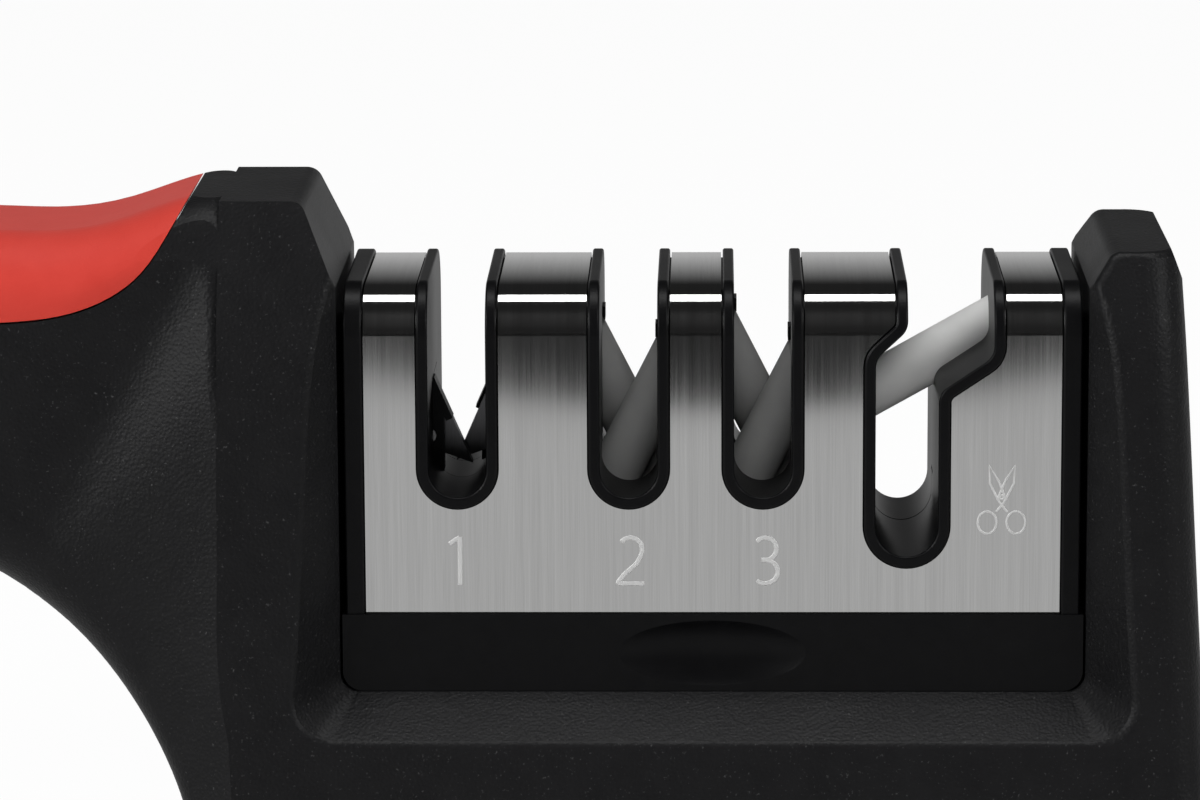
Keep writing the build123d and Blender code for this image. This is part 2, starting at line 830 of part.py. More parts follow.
with BuildPart() as blade_pins:
    with BuildSketch(Plane.XZ.offset(-holder_depth / 2)):
        with Locations(*pin_places):
            Circle(blade_pin_radius)
    extrude(amount=holder_depth)
export_piece(blade_pins.part, "blade_pins")

with BuildPart() as pin_holes:
    with BuildSketch(Plane.XZ.offset(-holder_depth)):
        with Locations(*pin_places):
            Circle(blade_pin_radius + screw_fit)
    extrude(amount=2 * holder_depth)

for side, side_name in side_names.items():
    with BuildPart() as blade:
        add(blade_block(side, 0))
        add(pin_holes.part, mode=Mode.SUBTRACT)
    export_piece(blade.part, f"blade_{side_name}")

with BuildPart() as blade_holder:
    add(holder_block(0))
    first_slot = knife_slot(stage_one_centre, slot_bottom, 0)
    extrude(first_slot, amount=2 * foot_depth, dir=towards_front, mode=Mode.SUBTRACT)
    for side in (FRONT, BACK):
        add(blade_guard(side))
        add(blade_block(side, screw_fit), mode=Mode.SUBTRACT)
    add(pin_holes.part, mode=Mode.SUBTRACT)
export_piece(blade_holder.part, "blade_holder")


def trough(plane, length, side, open_to_seam):
    """Seat of a rod, open towards the seam where the rod is laid in from there."""
    radius = rod_radius + rod_fit
    with BuildPart() as seat:
        with BuildSketch(plane):
            Circle(radius)
            if open_to_seam:
                with Locations((-side * rod_offset / 2, 0)):
                    Rectangle(rod_offset, 2 * radius)
        extrude(amount=length / 2 + rod_fit, both=True)
    return seat.part


def bed(middle, length, rise):
    """Solid bed left round a rod inside the hollow of a core half, seen from the front."""
    plane = Plane((middle.X, foot_depth, middle.Z), x_dir=(cos(rise), 0, sin(rise)), z_dir=(0, -1, 0))
    with BuildPart() as block:
        with BuildSketch(plane):
            Rectangle(length + 2 * core_wall, rod_diameter + 2 * core_wall)
        extrude(amount=2 * foot_depth)
    return block.part


core_screw_places = [
    (core_reach * share, cartridge_base_top + core_screw_height) for share in core_screw_places_share
]
base_screw_places = [
    (x * base_screw_spacing_x / 2, y * base_screw_spacing_y / 2) for x in (-1, 1) for y in (-1, 1)
]
base_screw_seat = cradle_floor + base_screw_head_height + base_screw_sink
core_screw_seat = core_half_depth - core_screw_sink


def core_hollow(side):
    """Hollow of one core half, open at the seam, that leaves walls, beds and bosses standing."""
    depth = core_half_depth - core_wall
    low = cartridge_base_top + core_wall
    with BuildPart() as space:
        with Locations((0, side * depth / 2, low)):
            size = (2 * core_reach - 2 * core_end_wall, depth, core_top - core_wall - low)
            Box(*size, align=(Align.CENTER, Align.CENTER, Align.MIN))
        add(all_slots(core_wall), mode=Mode.SUBTRACT)
        for centre in rod_chamber_centres:
            wall = knife_slot(centre, slot_bottom - rod_chamber_drop, core_wall)
            extrude(wall, amount=2 * foot_depth, dir=towards_front, mode=Mode.SUBTRACT)
        add(holder_block(core_wall), mode=Mode.SUBTRACT)
        for meeting_x, meeting_drop in rod_pairs.values():
            rise = radians(90 + side * rod_lean)
            add(bed(rod_middle(meeting_x, meeting_drop, side), rod_length, rise), mode=Mode.SUBTRACT)
        add(bed(scissor_middle, scissor_rod_length, scissor_turn), mode=Mode.SUBTRACT)
        with BuildSketch(behind):
            with Locations(*core_screw_places):
                Circle(core_screw_head_radius + core_boss_wall)
            for x, y in base_screw_places:
                with Locations((x, cartridge_base_top)):
                    column = 2 * (base_screw_radius + core_boss_wall)
                    Rectangle(column, base_screw_length, align=(Align.CENTER, Align.MIN))
        extrude(amount=2 * foot_depth, mode=Mode.SUBTRACT)
    return space.part


def lip_region(grow, reach, height):
    """Lower part of the scissors slot's wall, from the seam a little way back."""
    with BuildPart() as region:
        extrude(scissor_slot(grow), amount=2 * foot_depth, dir=towards_front)
        with Locations((well_mid, 0, plate_top - well_depth - core_wall - overrun)):
            size = (well_right - well_left + 4 * core_wall, reach, height + core_wall + overrun)
            Box(*size, align=(Align.CENTER, Align.MIN, Align.MIN), mode=Mode.INTERSECT)
    return region.part


# Screw holes of the cartridge, and the grooves at its ends for the guide ribs
with BuildPart() as cartridge_holes:
    with BuildSketch(Plane.XZ.offset(core_screw_length - core_screw_seat + screw_fit)):
        with Locations(*core_screw_places):
            Circle(core_screw_radius + screw_fit)
    extrude(amount=-(core_screw_length + core_screw_sink + screw_fit))
    with BuildSketch(Plane.XZ.offset(-core_screw_seat)):
        with Locations(*core_screw_places):
            Circle(core_screw_head_radius + screw_fit)
    extrude(amount=-(core_screw_sink + overrun))
    with BuildSketch(Plane.XY.offset(base_screw_seat)):
        with Locations(*base_screw_places):
            Circle(base_screw_radius + screw_fit)
    extrude(amount=base_screw_length + screw_fit)
    with BuildSketch(Plane.XY.offset(base_screw_seat)):
        with Locations(*base_screw_places):
            Circle(base_screw_head_radius + screw_fit)
    extrude(amount=-(base_screw_head_height + base_screw_sink + overrun))

with BuildPart() as guide_grooves:
    with BuildSketch(Plane.XY.offset(cradle_floor - overrun)):
        for side in (-1, 1):
            with Locations((side * (recess_half_length + overrun), 0)):
                groove_depth = 2 * (guide_rib_depth + guide_rib_clearance + overrun)
                Rectangle(groove_depth, guide_rib_width + 2 * guide_rib_clearance)
    extrude(amount=guide_rib_height + overrun + guide_rib_clearance)

core_sides = {FRONT: Keep.TOP, BACK: Keep.BOTTOM}
for side, side_name in side_names.items():
    with BuildPart() as core_half:
        add(core_blank.part)
        split(bisect_by=Plane.XZ, keep=core_sides[side])
        add(core_hollow(side), mode=Mode.SUBTRACT)
        for centre, (meeting_x, meeting_drop) in zip(rod_chamber_centres, rod_pairs.values()):
            # Small stop on the wall, just above the place where the rod enters it
            turn = radians(rod_lean)
            wall = centre - side * slot_width / 2
            enters_at = plate_top - meeting_drop + abs(wall - meeting_x) * cos(turn) / sin(turn)
            with Locations((wall, side * rod_offset, enters_at + rod_stop_height / 3)):
                Box(2 * rod_stop_width, rod_radius, rod_stop_height)
            seat_plane = rod_plane(meeting_x, meeting_drop, side)
            add(trough(seat_plane, rod_length, side, True), mode=Mode.SUBTRACT)
        add(trough(scissor_plane, scissor_rod_length, side, False), mode=Mode.SUBTRACT)
        add(holder_block(holder_fit), mode=Mode.SUBTRACT)
        if side == FRONT:
            add(lip_region(core_wall, lip_reach, lip_height))
            add(lip_region(0, lip_reach, lip_height), mode=Mode.SUBTRACT)
        else:
            rebate = lip_region(core_wall + lip_gap / 2, lip_reach + lip_gap, lip_height + lip_gap)
            add(rebate, mode=Mode.SUBTRACT)
        add(cartridge_holes.part, mode=Mode.SUBTRACT)
        add(guide_grooves.part, mode=Mode.SUBTRACT)
    export_piece(core_half.part, f"core_{side_name}")

# Base block of the cartridge: a tray under the core with a scooped thumb recess at the front
scoop_radius = ((thumb_height / 2) ** 2 + thumb_depth**2) / (2 * thumb_depth)
scoop_reach = scoop_radius * thumb_length / thumb_height
scoop_height = cradle_floor + base_block_height / 2
with BuildPart() as scoop:
    with BuildSketch(Plane.XY) as half_scoop:
        Ellipse(scoop_reach, scoop_radius)
        split(bisect_by=Plane.XZ, keep=Keep.TOP)
    revolve(axis=Axis.X, revolution_arc=360)

with BuildPart() as cartridge_base:
    with BuildSketch(Plane.XZ.offset(-base_block_depth / 2)) as base_face:
        with Locations((0, cradle_floor)):
            Rectangle(base_block_length, base_block_height, align=(Align.CENTER, Align.MIN))
        fillet(base_face.vertices().group_by(Axis.Y)[0], base_corner_radius)
    extrude(amount=base_block_depth)
    with BuildSketch(Plane.XY.offset(cradle_floor + base_wall)):
        Rectangle(base_block_length - 2 * base_wall, base_block_depth - 2 * base_wall)
        with Locations(*base_screw_places):
            Circle(base_screw_head_radius + base_post_wall, mode=Mode.SUBTRACT)
    extrude(amount=base_block_height, mode=Mode.SUBTRACT)
    scoop_place = Location((0, -base_block_depth / 2 + thumb_depth - scoop_radius, scoop_height))
    add(scoop.part.moved(scoop_place), mode=Mode.SUBTRACT)
    add(cartridge_holes.part, mode=Mode.SUBTRACT)
    add(guide_grooves.part, mode=Mode.SUBTRACT)
export_piece(cartridge_base.part, "cartridge_base")


def fastener(seat, sizes):
    """Screw whose head sits on the seat plane, with a tapered point and a cross recess."""
    shank_radius, shank_length, head_radius, head_height = sizes
    with BuildPart() as piece:
        with BuildSketch(seat):
            Circle(shank_radius)
        extrude(amount=shank_length - shank_radius)
        with BuildSketch(seat.offset(shank_length - shank_radius)):
            Circle(shank_radius)
        with BuildSketch(seat.offset(shank_length)):
            Circle(shank_radius / 2)
        loft(ruled=True)
        with BuildSketch(seat):
            Circle(head_radius)
        extrude(amount=-head_height)
        with BuildSketch(seat.offset(-head_height)):
            Rectangle(head_radius * recess_length_share, head_radius * recess_width_share)
            Rectangle(head_radius * recess_width_share, head_radius * recess_length_share)
        extrude(amount=head_height * recess_depth_share, mode=Mode.SUBTRACT)
    return piece.part


core_screw_sizes = (core_screw_radius, core_screw_length, core_screw_head_radius, core_screw_head_height)
base_screw_sizes = (base_screw_radius, base_screw_length, base_screw_head_radius, base_screw_head_height)
foot_screw_sizes = (foot_screw_radius, foot_screw_length, foot_screw_head_radius, foot_screw_head_height)

with BuildPart() as core_screws:
    for x, z in core_screw_places:
        seat = Plane((x, core_screw_seat, z), x_dir=(1, 0, 0), z_dir=(0, -1, 0))
        add(fastener(seat, core_screw_sizes))
export_piece(core_screws.part, "core_screws")

with BuildPart() as cartridge_base_screws:
    for x, y in base_screw_places:
        seat = Plane((x, y, base_screw_seat))
        add(fastener(seat, base_screw_sizes))
export_piece(cartridge_base_screws.part, "cartridge_base_screws")

# Plate that closes the head from below, the rubber pad let into it and their screws
plate_size = (under_right - under_left, 2 * under_half_depth)
pad_size = (plate_size[0] - 2 * pad_margin, plate_size[1] - 2 * pad_margin)
under_middle = (under_left + under_right) / 2
island_radius = foot_screw_head_radius + pad_island_wall

with BuildPart() as base_plate:
    with BuildSketch(Plane.XY.offset(body_under)):
        with Locations((under_middle, 0)):
            RectangleRounded(*plate_size, base_corner_radius)
    extrude(amount=plate_under_thickness)
    with BuildSketch(Plane.XY.offset(body_under)):
        with Locations((under_middle, 0)):
            RectangleRounded(pad_size[0] + 2 * screw_fit, pad_size[1] + 2 * screw_fit, base_corner_radius)
        with Locations(*foot_screw_places):
            Circle(island_radius, mode=Mode.SUBTRACT)
    extrude(amount=pad_thickness - pad_proud, mode=Mode.SUBTRACT)
    with BuildSketch(Plane.XY.offset(body_under)):
        with Locations(*foot_screw_places):
            Circle(foot_screw_radius + screw_fit)
    extrude(amount=plate_under_thickness, mode=Mode.SUBTRACT)
    with BuildSketch(Plane.XY.offset(body_under)):
        with Locations(*foot_screw_places):
            Circle(foot_screw_head_radius + screw_fit)
    extrude(amount=foot_screw_head_height, mode=Mode.SUBTRACT)
export_piece(base_plate.part, "base_plate")

with BuildPart() as foot_pad:
    with BuildSketch(Plane.XY):
        with Locations((under_middle, 0)):
            RectangleRounded(*pad_size, base_corner_radius)
        with Locations(*foot_screw_places):
            Circle(island_radius + screw_fit, mode=Mode.SUBTRACT)
    extrude(amount=pad_thickness)
    with BuildSketch(Plane.XY):
        groove_spacing = pad_size[0] / (pad_groove_count + 1)
        with Locations((under_middle, 0)):
            with GridLocations(groove_spacing, 0, pad_groove_count, 1):
                Rectangle(pad_groove_width, foot_depth)
    extrude(amount=pad_groove_depth, mode=Mode.SUBTRACT)
export_piece(foot_pad.part, "foot_pad")

with BuildPart() as base_screws:
    for x, y in foot_screw_places:
        seat = Plane((x, y, body_under + foot_screw_head_height))
        add(fastener(seat, foot_screw_sizes))
export_piece(base_screws.part, "base_screws")
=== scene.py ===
import json
from math import cos, pi, radians, sin

import bpy
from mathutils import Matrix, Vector


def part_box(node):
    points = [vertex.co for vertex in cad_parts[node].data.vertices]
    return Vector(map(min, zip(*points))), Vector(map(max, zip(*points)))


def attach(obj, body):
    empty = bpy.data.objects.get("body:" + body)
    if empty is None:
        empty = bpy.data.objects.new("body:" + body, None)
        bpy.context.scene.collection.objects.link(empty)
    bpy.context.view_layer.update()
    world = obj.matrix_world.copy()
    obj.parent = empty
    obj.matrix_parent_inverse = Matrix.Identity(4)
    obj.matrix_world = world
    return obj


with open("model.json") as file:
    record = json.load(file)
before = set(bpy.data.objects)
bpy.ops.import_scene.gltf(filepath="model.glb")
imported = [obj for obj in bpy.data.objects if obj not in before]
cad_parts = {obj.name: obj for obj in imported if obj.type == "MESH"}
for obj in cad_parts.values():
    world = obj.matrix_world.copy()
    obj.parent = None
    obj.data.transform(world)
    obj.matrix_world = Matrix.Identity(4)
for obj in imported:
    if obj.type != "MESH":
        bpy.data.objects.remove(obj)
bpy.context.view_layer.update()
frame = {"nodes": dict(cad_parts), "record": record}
nodes = frame["nodes"]
MM = 0.001

# Front face of the steel cover, which the markings lie on
plate_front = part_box("cover_plate")[0].y

# Width and focal length of the photograph, and the place and the three turns of its camera
IMAGE_WIDTH_PX = 1200
FOCAL_LENGTH_PX = 5430
SENSOR_WIDTH = 36.0
CLIP_NEAR = 0.02
CLIP_FAR = 50.0
CAMERA_PLACE = (0.44 * MM, -548.33 * MM, 158.0 * MM)
CAMERA_DOWN = radians(11.117)
CAMERA_LEFT = radians(1.2)
CAMERA_ROLL = radians(0.27)


def place_in_scene(name, data):
    """New object of the scene that shows the given data."""
    made = bpy.data.objects.new(name, data)
    bpy.context.scene.collection.objects.link(made)
    return made


def add_camera():
    data = bpy.data.cameras.new("camera")
    data.sensor_width = SENSOR_WIDTH
    data.lens = FOCAL_LENGTH_PX / IMAGE_WIDTH_PX * SENSOR_WIDTH
    data.clip_start = CLIP_NEAR
    data.clip_end = CLIP_FAR
    camera = place_in_scene("camera", data)
    camera.location = CAMERA_PLACE
    camera.rotation_euler = (pi / 2 - CAMERA_DOWN, CAMERA_ROLL, CAMERA_LEFT)
    bpy.context.scene.camera = camera


class Nodes:
    """Short way to add shader nodes to one tree."""

    def __init__(self, tree):
        self.tree = tree

    def add(self, kind, **settings):
        node = self.tree.nodes.new(kind)
        for key, value in settings.items():
            if key in node.inputs:
                node.inputs[key].default_value = value
            else:
                setattr(node, key, value)
        return node

    def link(self, source, target):
        self.tree.links.new(source, target)

    def axes(self, place):
        """Outputs X, Y and Z of a place or a direction."""
        apart = self.add("ShaderNodeSeparateXYZ")
        self.link(place, apart.inputs[0])
        return apart.outputs

    def ramp(self, value, low, high, from_low=0.0, from_high=1.0):
        """Value carried from one range to another."""
        node = self.add("ShaderNodeMapRange")
        node.inputs["From Min"].default_value = from_low
        node.inputs["From Max"].default_value = from_high
        node.inputs["To Min"].default_value = low
        node.inputs["To Max"].default_value = high
        self.link(value, node.inputs["Value"])
        return node.outputs["Result"]

    def combine(self, first, second, operation, factor=1.0):
        """Two values joined by an operation, the second one scaled by a factor first."""
        scaled = self.add("ShaderNodeMath", operation="MULTIPLY")
        scaled.inputs[1].default_value = factor
        self.link(second, scaled.inputs[0])
        node = self.add("ShaderNodeMath", operation=operation)
        self.link(first, node.inputs[0])
        self.link(scaled.outputs[0], node.inputs[1])
        return node.outputs[0]

    def choose(self, chosen, otherwise, then):
        """One of two strengths: the second one for rays of the chosen kind."""
        node = self.add("ShaderNodeMix", data_type="FLOAT")
        self.link(chosen, node.inputs["Factor"])
        for socket, strength in (("A", otherwise), ("B", then)):
            if isinstance(strength, float):
                node.inputs[socket].default_value = strength
            else:
                self.link(strength, node.inputs[socket])
        return node.outputs["Result"]


class Surface(Nodes):
    """Nodes of one new material."""

    def __init__(self, name):
        self.material = bpy.data.materials.new(name)
        self.material.use_nodes = True
        super().__init__(self.material.node_tree)
        self.shader = self.tree.nodes["Principled BSDF"]
        self.output = self.tree.nodes["Material Output"]

    def position(self, stretch=(1, 1, 1)):
        """Place on the piece in metres, stretched along its axes."""
        place = self.add("ShaderNodeTexCoord")
        scale = self.add("ShaderNodeMapping")
        scale.inputs["Scale"].default_value = stretch
        self.link(place.outputs["Object"], scale.inputs["Vector"])
        return scale.outputs["Vector"]

    def noise(self, vector, size, detail=2.0):
        """Soft noise with bumps of a given size in metres."""
        node = self.add("ShaderNodeTexNoise", Scale=1 / size, Detail=detail, Roughness=0.5)
        self.link(vector, node.inputs["Vector"])
        return node.outputs["Fac"]

    def cells(self, vector, size, smoothness):
        """Rounded cells of a given size in metres."""
        node = self.add("ShaderNodeTexVoronoi", feature="SMOOTH_F1")
        node.inputs["Scale"].default_value = 1 / size
        node.inputs["Smoothness"].default_value = smoothness
        self.link(vector, node.inputs["Vector"])
        return node.outputs["Distance"]

    def mix(self, value, first, second):
        """Colour between two colours."""
        node = self.add("ShaderNodeMix", data_type="RGBA")
        node.inputs["A"].default_value = (*first, 1)
        node.inputs["B"].default_value = (*second, 1)
        self.link(value, node.inputs["Factor"])
        return node.outputs["Result"]

    def bump(self, height, depth):
        """Fine relief whose height is given in metres."""
        node = self.add("ShaderNodeBump", Strength=1.0, Distance=depth)
        self.link(height, node.inputs["Height"])
        self.link(node.outputs["Normal"], self.shader.inputs["Normal"])

    def color(self, source):
        self.link(source, self.shader.inputs["Base Color"])

    def roughness(self, source):
        self.link(source, self.shader.inputs["Roughness"])

    def set(self, **values):
        for key, value in values.items():
            self.shader.inputs[key.replace("_", " ")].default_value = value


# Grain of the moulded plastics: sizes as multiples of the grain, and how far each layer shows
FINE_DETAIL = 3.0
CELL_SMOOTHNESS = 0.6
UNEVEN_SIZE = 2.6
UNEVEN_WEIGHT = 0.7
TONE_SIZE = 9
# Painted glints, bright specks that stand in for light catching the grain: their size and the range
# of noise that shows them
PAINTED_GLINT_SIZE = 0.8
PAINTED_GLINT_RANGE = (0.66, 0.78)
WEAR_SIZE = 12 * MM
WEAR_SMOOTHER = 0.05
WEAR_ROUGHER = 0.07


def grained_plastic(name, color, pale_tone_and_glint, grain, depth, roughness, specular, painted_glint_lift=0.0, sheen=0.0):
    """Moulded plastic with an etched grain: rounded cells broken up by a softer noise."""
    made = Surface(name)
    place = made.position()
    cells = made.cells(place, grain, CELL_SMOOTHNESS)
    uneven = made.noise(place, grain * UNEVEN_SIZE, FINE_DETAIL)
    made.bump(made.combine(cells, uneven, "ADD", UNEVEN_WEIGHT), depth)
    tone = made.mix(made.noise(place, grain * TONE_SIZE), color, pale_tone_and_glint)
    # Painted glints: bright specks, paler than the pale tone by the glint lift, stand in for light
    # catching the grain
    painted_glints = made.ramp(made.noise(place, grain * PAINTED_GLINT_SIZE), 0, 1, *PAINTED_GLINT_RANGE)
    blend = made.add("ShaderNodeMix", data_type="RGBA")
    made.link(painted_glints, blend.inputs["Factor"])
    made.link(tone, blend.inputs["A"])
    blend.inputs["B"].default_value = (*[part + painted_glint_lift for part in pale_tone_and_glint], 1)
    made.color(blend.outputs["Result"])
    wear = made.noise(place, WEAR_SIZE, FINE_DETAIL)
    made.roughness(made.ramp(wear, roughness - WEAR_SMOOTHER, roughness + WEAR_ROUGHER))
    made.set(Specular_IOR_Level=specular)
    if sheen:
        made.set(Sheen_Weight=sheen, Sheen_Roughness=0.45)
    return made.material


# Lines of the brushed sheet: how far they are drawn out, their widths and depth, and the soft clouds
LINE_STRETCH = (1, 0.012, 0.012)
FINE_LINE = 0.09 * MM
BROAD_LINE = 0.5 * MM
BROAD_WEIGHT = 0.8
LINE_RANGE = (0.5, 1.3)
LINE_DEPTH = 0.0008 * MM
LINE_ROUGHNESS = (0.085, 0.115)
CLOUD_SIZE = 9 * MM
CLOUD_ROUGHNESS = 0.02
STEEL_DARK = (0.52, 0.52, 0.515)
STEEL_LIGHT = (0.64, 0.64, 0.635)
# The flat top of the sheet is crowned a little, by this factor on the square of the place in metres
TOP_CROWN = 3.0


def brushed_steel():
    """Stainless sheet with fine lines that run up the front and on over the top."""
    made = Surface("cover_steel")
    lines = made.position(LINE_STRETCH)
    fine = made.noise(lines, FINE_LINE, FINE_DETAIL)
    streaks = made.combine(fine, made.noise(lines, BROAD_LINE), "ADD", BROAD_WEIGHT)
    cloudy = made.noise(made.position(), CLOUD_SIZE)
    made.color(made.mix(made.ramp(streaks, 0, 1, *LINE_RANGE), STEEL_DARK, STEEL_LIGHT))
    made.roughness(
        made.combine(made.ramp(streaks, *LINE_ROUGHNESS, *LINE_RANGE), cloudy, "ADD", CLOUD_ROUGHNESS)
    )
    across = made.axes(made.position())["Y"]
    crown = made.combine(across, across, "MULTIPLY", -TOP_CROWN)
    made.bump(made.combine(crown, streaks, "ADD", LINE_DEPTH), 1.0)
    along = made.add("ShaderNodeCombineXYZ", X=1.0)
    made.link(along.outputs[0], made.shader.inputs["Tangent"])
    made.set(Metallic=1.0, Anisotropic=0.95)
    return made.material


def etched_mark():
    """Pale etched lines of the numerals and the scissors sign."""
    made = Surface("etched_mark")
    speckle = made.noise(made.position(), 0.12 * MM)
    made.color(made.mix(speckle, (0.62, 0.62, 0.62), (0.74, 0.74, 0.73)))
    made.roughness(made.ramp(speckle, 0.5, 0.65))
    made.set(Metallic=0.6)
    return made.material


# Scratches of the ground metals: drawn out along Z, with their depth and spread of roughness
SCRATCH_STRETCH = (1, 1, 0.1)
SCRATCH_DEPTH = 0.002 * MM
SCRATCH_SMOOTHER = 0.06
SCRATCH_ROUGHER = 0.1


def ground_metal(name, color, brighter, roughness, line):
    """Metal ground or plated, with short fine scratches."""
    made = Surface(name)
    scratches = made.noise(made.position(SCRATCH_STRETCH), line, FINE_DETAIL)
    made.color(made.mix(scratches, color, brighter))
    made.roughness(made.ramp(scratches, roughness - SCRATCH_SMOOTHER, roughness + SCRATCH_ROUGHER))
    made.bump(scratches, SCRATCH_DEPTH)
    made.set(Metallic=1.0)
    return made.material


# Grains of the ceramic rods: size, roundness, depth and spread of roughness, and the clouds in them
ROD_GRAIN = 0.12 * MM
ROD_GRAIN_SMOOTHNESS = 0.3
ROD_GRAIN_DEPTH = 0.006 * MM
ROD_SMOOTHER = 0.05
ROD_ROUGHER = 0.08
ROD_CLOUD = 2 * MM


def ceramic(name, color, lighter, roughness):
    """Fine abrasive ceramic with a sugary surface."""
    made = Surface(name)
    place = made.position()
    grains = made.cells(place, ROD_GRAIN, ROD_GRAIN_SMOOTHNESS)
    made.color(made.mix(made.noise(place, ROD_CLOUD, FINE_DETAIL), color, lighter))
    made.roughness(made.ramp(grains, roughness - ROD_SMOOTHER, roughness + ROD_ROUGHER))
    made.bump(grains, ROD_GRAIN_DEPTH)
    made.set(Specular_IOR_Level=0.4)
    return made.material


# The black plastics carry painted glints: bright specks in their colour that stand in for light
# catching the grain
MATERIALS = {
    "body_plastic": grained_plastic(
        "body_plastic",
        color=(0.0045, 0.0045, 0.005),
        pale_tone_and_glint=(0.008, 0.008, 0.0085),
        grain=0.34 * MM,
        depth=0.042 * MM,
        roughness=0.45,
        specular=0.15,
        painted_glint_lift=0.045,
    ),
    "grip_red": grained_plastic(
        "grip_red",
        color=(0.475, 0.034, 0.023),
        pale_tone_and_glint=(0.52, 0.043, 0.03),
        grain=0.26 * MM,
        depth=0.014 * MM,
        roughness=0.55,
        specular=0.16,
        sheen=0.06,
    ),
    "pad_rubber": grained_plastic(
        "pad_rubber",
        color=(0.012, 0.012, 0.012),
        pale_tone_and_glint=(0.02, 0.02, 0.02),
        grain=0.5 * MM,
        depth=0.02 * MM,
        roughness=0.8,
        specular=0.3,
    ),
    "screw_steel": ground_metal("screw_steel", (0.42, 0.42, 0.43), (0.58, 0.58, 0.58), 0.3, 0.3 * MM),
    "cover_steel": brushed_steel(),
    "core_plastic": grained_plastic(
        "core_plastic",
        color=(0.002, 0.002, 0.0023),
        pale_tone_and_glint=(0.0038, 0.0038, 0.0042),
        grain=0.2 * MM,
        depth=0.008 * MM,
        roughness=0.36,
        specular=0.12,
        painted_glint_lift=0.004,
    ),
    "carbide": ground_metal("carbide", (0.16, 0.16, 0.17), (0.30, 0.30, 0.31), 0.34, 0.15 * MM),
    "rod_dark": ceramic("rod_dark", (0.27, 0.27, 0.266), (0.34, 0.34, 0.334), 0.55),
    "rod_ceramic": ceramic("rod_ceramic", (0.74, 0.74, 0.73), (0.82, 0.82, 0.81), 0.5),
}

for part in frame["record"]["subparts"]:
    slots = nodes[part["node"]].data.materials
    slots.clear()
    slots.append(MATERIALS[part["material_slot"]])


# Markings on the front of the steel cover, drawn with strokes of one width. A stroke stands proud
# of the face by the relief, and its back sinks into the face by a share of that.
MARK_RELIEF = 0.03 * MM
MARK_SINK_SHARE = 0.2
STROKE_ROUNDNESS = 3
DIGIT_STROKE = 0.5 * MM
DIGIT_HEIGHT = 4.75 * MM
DIGIT_FOOT = 34.1 * MM
SIGN_STROKE = 0.24 * MM


def arc(centre, radius, start, end, steps=16):
    """Points along part of a circle or of an ellipse, with angles in degrees from level."""
    wide, high = radius
    turns = [radians(start + (end - start) * step / steps) for step in range(steps + 1)]
    return [(centre[0] + wide * cos(turn), centre[1] + high * sin(turn)) for turn in turns]


def add_mark(name, strokes, width):
    """Strokes, given as points in the plane of the front face, as thin raised lines."""
    data = bpy.data.curves.new(name, "CURVE")
    data.dimensions = "3D"
    data.bevel_depth = width / 2
    data.bevel_resolution = STROKE_ROUNDNESS
    data.use_fill_caps = True
    for stroke in strokes:
        line = data.splines.new("POLY")
        line.points.add(len(stroke) - 1)
        for point, (x, z) in zip(line.points, stroke):
            point.co = (x, 0, z, 1)
    drawn = place_in_scene(name, data)
    depsgraph = bpy.context.evaluated_depsgraph_get()
    mesh = bpy.data.meshes.new_from_object(drawn.evaluated_get(depsgraph))
    bpy.data.objects.remove(drawn)
    for vertex in mesh.vertices:
        height = max(-1, min(vertex.co.y / width * 2, MARK_SINK_SHARE))
        vertex.co.y = plate_front + height * MARK_RELIEF
    mesh.materials.clear()
    mesh.materials.append(etched)
    mark = place_in_scene(name, mesh)
    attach(mark, "cartridge")


def digit(strokes, centre):
    """Strokes of a digit of unit height, set on the foot line of the digits."""
    placed = []
    for stroke in strokes:
        placed.append([(centre + x * DIGIT_HEIGHT, DIGIT_FOOT + z * DIGIT_HEIGHT) for x, z in stroke])
    return placed


# Each digit has its strokes at unit height and the place of its middle along the cover
DIGITS = {
    "1": ([[(-0.2, 0.86), (-0.05, 0.965), (0.02, 1.0)], [(0.02, 1.02), (0.02, -0.03)]], -25.55 * MM),
    "2": (
        [
            arc((0.0, 0.73), (0.25, 0.27), 140, -25)
            + [(0.14, 0.44), (-0.13, 0.2), (-0.25, 0.05), (-0.265, 0.0)],
            [(-0.29, 0.0), (0.29, 0.0)],
        ],
        -8.25 * MM,
    ),
    "3": (
        [
            arc((-0.01, 0.755), (0.235, 0.245), 140, -75) + [(-0.1, 0.51)],
            arc((-0.02, 0.255), (0.275, 0.255), 85, -130),
        ],
        5.4 * MM,
    ),
}

# The scissors sign in millimetres from its pivot, as drawn for the right side
SIGN_MIDDLE = 29.1 * MM
SIGN_PIVOT = 43.0 * MM
SIGN_BLADE = ((-0.45, -0.3), (0.3, 1.6), (1.3, 3.3), (1.2, 1.4), (0.25, -0.5), (-0.55, -1.5))
SIGN_RING = (1.45, -2.6)
SIGN_RING_RADIUS = (0.95 * MM, 1.15 * MM)
SIGN_PIVOT_RADIUS = (0.22 * MM, 0.22 * MM)
SIGN_RING_STEPS = 24
SIGN_PIVOT_STEPS = 12


def scissors_sign():
    """Open scissors with points up: two outlined blades, a pivot and two finger rings."""
    strokes = []
    for side in (-1, 1):
        strokes.append([(SIGN_MIDDLE + side * x * MM, SIGN_PIVOT + z * MM) for x, z in SIGN_BLADE])
        x, z = SIGN_RING
        ring_centre = (SIGN_MIDDLE + side * x * MM, SIGN_PIVOT + z * MM)
        strokes.append(arc(ring_centre, SIGN_RING_RADIUS, 0, 360, SIGN_RING_STEPS))
    strokes.append(arc((SIGN_MIDDLE, SIGN_PIVOT), SIGN_PIVOT_RADIUS, 0, 360, SIGN_PIVOT_STEPS))
    return strokes


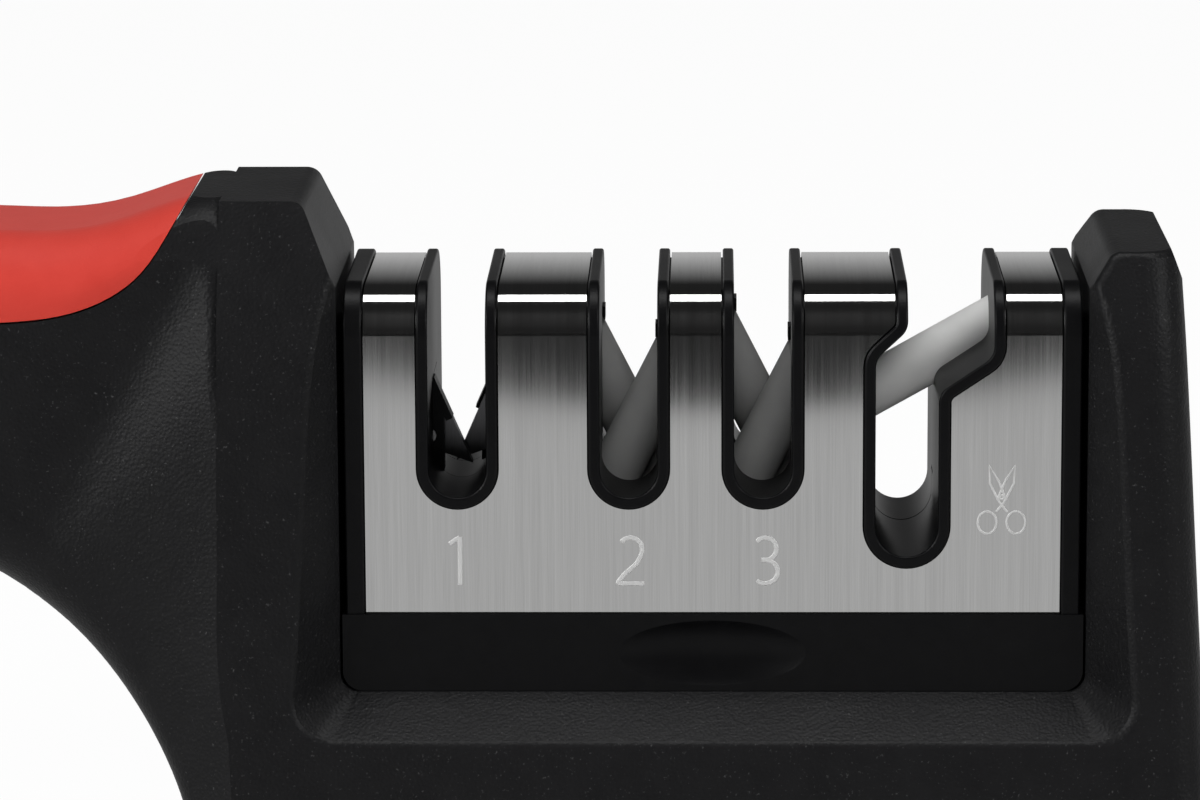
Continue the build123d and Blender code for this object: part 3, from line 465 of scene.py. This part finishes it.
etched = etched_mark()
for figure, (strokes, centre) in DIGITS.items():
    add_mark("stage_number_" + figure, digit(strokes, centre), DIGIT_STROKE)
add_mark("scissors_sign", scissors_sign(), SIGN_STROKE)


# Pale floor. Metal sees it bright near the object, and dark beyond a curved edge in front of it.
FLOOR_SIZE = 12.0
FLOOR_COLOR = (0.86, 0.86, 0.86, 1)
FLOOR_GLOW = 0.6
FRONT_GLOW = 0.012
EDGE_DISTANCE = 0.276
EDGE_SPREAD = 2.5
EDGE_SOFTNESS = 0.005
WHITE_SHARE = 0.96


def add_floor():
    made = Surface("floor")
    made.set(Base_Color=FLOOR_COLOR, Roughness=0.9)
    place = made.axes(made.add("ShaderNodeTexCoord").outputs["Object"])
    sideways = made.add("ShaderNodeMath", operation="MULTIPLY")
    sideways.inputs[1].default_value = EDGE_SPREAD
    made.link(place["X"], sideways.inputs[0])
    flat = made.add("ShaderNodeCombineXYZ", Y=EDGE_DISTANCE)
    made.link(sideways.outputs[0], flat.inputs["X"])
    edge = made.add("ShaderNodeVectorMath", operation="LENGTH")
    made.link(flat.outputs[0], edge.inputs[0])
    beyond = made.combine(edge.outputs["Value"], place["Y"], "ADD")
    mirrored = made.ramp(beyond, FRONT_GLOW, FLOOR_GLOW, -EDGE_SOFTNESS, EDGE_SOFTNESS)
    rays = made.add("ShaderNodeLightPath").outputs
    glow = made.add("ShaderNodeEmission")
    made.link(made.choose(rays["Is Glossy Ray"], 1.0, mirrored), glow.inputs["Strength"])
    seen = made.combine(rays["Is Transmission Ray"], rays["Is Camera Ray"], "ADD", WHITE_SHARE)
    blend = made.add("ShaderNodeMixShader")
    made.link(made.combine(seen, rays["Is Glossy Ray"], "ADD"), blend.inputs["Fac"])
    made.link(made.shader.outputs[0], blend.inputs[1])
    made.link(glow.outputs[0], blend.inputs[2])
    made.link(blend.outputs[0], made.output.inputs["Surface"])
    half = FLOOR_SIZE / 2
    corners = [(-half, -half, 0), (half, -half, 0), (half, half, 0), (-half, half, 0)]
    mesh = bpy.data.meshes.new("floor")
    mesh.from_pydata(corners, [], [(0, 1, 2, 3)])
    mesh.materials.append(made.material)
    place_in_scene("floor", mesh)


# Room around the object: a bright wall low behind it, dim elsewhere, and white to the camera.
# Heights are the Z of a direction, and the wall comes in over a range of the direction's Y.
WALL_GLOW = 0.5
ROOM_GLOW = 0.02
WALL_BRIGHT_BELOW = sin(radians(4))
WALL_DARK_ABOVE = sin(radians(16))
WALL_COMES_IN = (-0.2, 0.3)


def add_world():
    world = bpy.data.worlds.new("world")
    bpy.context.scene.world = world
    world.use_nodes = True
    made = Nodes(world.node_tree)
    background = made.tree.nodes["Background"]
    background.inputs["Color"].default_value = (1, 1, 1, 1)
    direction = made.axes(made.add("ShaderNodeTexCoord").outputs["Generated"])
    low = made.ramp(direction["Z"], 1.0, 0.0, WALL_BRIGHT_BELOW, WALL_DARK_ABOVE)
    behind = made.ramp(direction["Y"], 0.0, 1.0, *WALL_COMES_IN)
    level = made.ramp(made.combine(low, behind, "MULTIPLY"), ROOM_GLOW, WALL_GLOW)
    rays = made.add("ShaderNodeLightPath").outputs
    seen = made.combine(rays["Is Camera Ray"], rays["Is Transmission Ray"], "MAXIMUM")
    made.link(made.choose(seen, level, 1.0), background.inputs["Strength"])


LIGHT_AIM = Vector((0, 0, 0.04))
# Each soft light has its place, size and power in watts, and whether shiny faces mirror it
SOFTBOXES = {
    "overhead_light": ((0, -0.03, 0.74), (0.7, 0.25), 3.2, True),
    "left_light": ((-0.75, -0.55, 0.42), (0.4, 0.5), 5.5, True),
    "right_light": ((0.8, -0.5, 0.5), (0.35, 0.5), 3.5, True),
    "front_light": ((0.08, -0.95, 0.42), (0.5, 0.3), 2.1, False),
}


def add_softbox(name, place, size, power, mirrored):
    """Rectangular soft light that faces the object."""
    data = bpy.data.lights.new(name, "AREA")
    data.shape = "RECTANGLE"
    data.size, data.size_y = size
    data.energy = power
    lamp = place_in_scene(name, data)
    lamp.location = place
    lamp.rotation_euler = (LIGHT_AIM - Vector(place)).to_track_quat("-Z", "Y").to_euler()
    lamp.visible_glossy = mirrored


add_floor()
add_world()
for name, settings in SOFTBOXES.items():
    add_softbox(name, *settings)
add_camera()

bpy.context.scene.view_settings.view_transform = "Standard"
